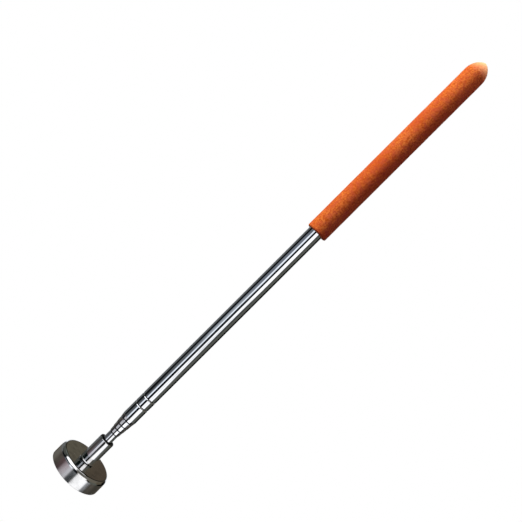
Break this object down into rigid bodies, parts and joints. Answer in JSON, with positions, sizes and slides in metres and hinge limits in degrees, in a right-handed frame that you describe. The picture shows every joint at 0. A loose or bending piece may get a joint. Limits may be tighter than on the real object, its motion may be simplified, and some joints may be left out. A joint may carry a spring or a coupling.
{
  "type": "telescopic magnetic pick-up tool",
  "caption": "Telescopic magnetic pick-up tool: a round pot magnet on nested chromed tubes that slide out and turn, with a closed foam grip.",
  "frame": {"origin": "centre of the magnet's pull face, with the tool standing upright on it", "axes": "+Z along the shaft from the magnet to the tip of the grip; +X and +Y across the shaft"},
  "size_m": [0.036, 0.036, 0.3558],
  "materials": {
    "nickel": "polished",
    "ferrite": "matte",
    "resin": "gloss",
    "bush_brass": "satin",
    "screw_steel": "satin",
    "ferrule_chrome": "polished",
    "outer_chrome": "polished",
    "tube_chrome": "polished",
    "bronze": "satin",
    "plug": "matte",
    "foam": "matte"
  },
  "bodies": {
    "magnet_end": {"magnet_cup": "nickel", "magnet_ring": "ferrite", "potting_ring": "resin", "centre_bush": "bush_brass", "head_screw": "screw_steel", "ferrule": "ferrule_chrome", "inner_tube": "tube_chrome"},
    "inner_clips": {"inner_clip_a": "bronze", "inner_clip_b": "bronze"},
    "fourth_section": {"fourth_tube": "tube_chrome"},
    "fourth_clips": {"fourth_clip_a": "bronze", "fourth_clip_b": "bronze"},
    "third_section": {"third_tube": "tube_chrome"},
    "third_clips": {"third_clip_a": "bronze", "third_clip_b": "bronze"},
    "second_section": {"second_tube": "tube_chrome"},
    "second_clips": {"second_clip_a": "bronze", "second_clip_b": "bronze"},
    "handle": {"outer_tube": "outer_chrome", "guide_ring": "bronze", "end_plug": "plug", "foam_grip": "foam"}
  },
  "joints": [
    {"name": "turn_fourth", "type": "hinge", "parent": "magnet_end", "child": "inner_clips", "pos_m": [0, 0, 0.263], "axis": [0, 0, 1], "continuous": true},
    {"name": "slide_fourth", "type": "slide", "parent": "inner_clips", "child": "fourth_section", "axis": [0, 0, 1], "range_m": [0, 0.2185]},
    {"name": "turn_third", "type": "hinge", "parent": "fourth_section", "child": "fourth_clips", "pos_m": [0, 0, 0.28], "axis": [0, 0, 1], "continuous": true},
    {"name": "slide_third", "type": "slide", "parent": "fourth_clips", "child": "third_section", "axis": [0, 0, 1], "range_m": [0, 0.2315]},
    {"name": "turn_second", "type": "hinge", "parent": "third_section", "child": "third_clips", "pos_m": [0, 0, 0.297], "axis": [0, 0, 1], "continuous": true},
    {"name": "slide_second", "type": "slide", "parent": "third_clips", "child": "second_section", "axis": [0, 0, 1], "range_m": [0, 0.2445]},
    {"name": "turn_outer", "type": "hinge", "parent": "second_section", "child": "second_clips", "pos_m": [0, 0, 0.314], "axis": [0, 0, 1], "continuous": true},
    {"name": "slide_outer", "type": "slide", "parent": "second_clips", "child": "handle", "axis": [0, 0, 1], "range_m": [0, 0.242]}
  ]
}
